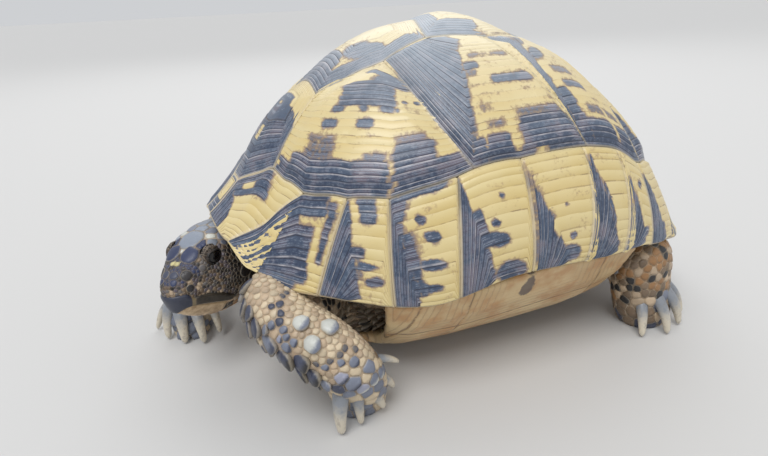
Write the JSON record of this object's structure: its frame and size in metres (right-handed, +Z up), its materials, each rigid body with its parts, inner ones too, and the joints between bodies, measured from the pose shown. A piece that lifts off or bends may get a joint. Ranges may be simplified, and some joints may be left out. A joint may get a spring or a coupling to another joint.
{
  "type": "spur-thighed tortoise",
  "caption": "Life-size still model of an adult land tortoise standing mid-stride, head turned to its left, with domed marked shell.",
  "frame": {"origin": "on the floor under the middle of the whole animal's bounding box", "axes": "+Z up, head toward -X, the animal's left side toward -Y"},
  "size_m": [0.2156, 0.1348, 0.1178],
  "materials": {
    "shell_keratin": "satin keratin with growth rings, cream with slate blue-black markings",
    "plastron_keratin": "satin keratin, tan and orange with dark blotches",
    "scaly_skin": "dry matte scaly skin, brown to cream",
    "claw_horn": "smooth grey-brown horn",
    "eye": "wet glossy dark eye"
  },
  "bodies": {
    "root": {"costal_left_1": "shell_keratin", "costal_left_2": "shell_keratin", "costal_left_3": "shell_keratin", "costal_left_4": "shell_keratin", "costal_right_1": "shell_keratin", "costal_right_2": "shell_keratin", "costal_right_3": "shell_keratin", "costal_right_4": "shell_keratin", "eye_left": "eye", "eye_right": "eye", "head": "scaly_skin", "left_foreleg_lower": "scaly_skin", "left_foreleg_upper": "scaly_skin", "left_hindleg_lower": "scaly_skin", "left_hindleg_upper": "scaly_skin", "lower_jaw": "claw_horn", "marginal_left_1": "shell_keratin", "marginal_left_10": "shell_keratin", "marginal_left_11": "shell_keratin", "marginal_left_2": "shell_keratin", "marginal_left_3": "shell_keratin", "marginal_left_4": "shell_keratin", "marginal_left_5": "shell_keratin", "marginal_left_6": "shell_keratin", "marginal_left_7": "shell_keratin", "marginal_left_8": "shell_keratin", "marginal_left_9": "shell_keratin", "marginal_right_1": "shell_keratin", "marginal_right_10": "shell_keratin", "marginal_right_11": "shell_keratin", "marginal_right_2": "shell_keratin", "marginal_right_3": "shell_keratin", "marginal_right_4": "shell_keratin", "marginal_right_5": "shell_keratin", "marginal_right_6": "shell_keratin", "marginal_right_7": "shell_keratin", "marginal_right_8": "shell_keratin", "marginal_right_9": "shell_keratin", "neck": "scaly_skin", "nuchal": "shell_keratin", "plastron": "plastron_keratin", "right_foreleg_lower": "scaly_skin", "right_foreleg_upper": "scaly_skin", "right_hindleg_lower": "scaly_skin", "right_hindleg_upper": "scaly_skin", "supracaudal": "shell_keratin", "tail": "scaly_skin", "trunk": "scaly_skin", "vertebral_1": "shell_keratin", "vertebral_2": "shell_keratin", "vertebral_3": "shell_keratin", "vertebral_4": "shell_keratin", "vertebral_5": "shell_keratin"}
  },
  "joints": []
}
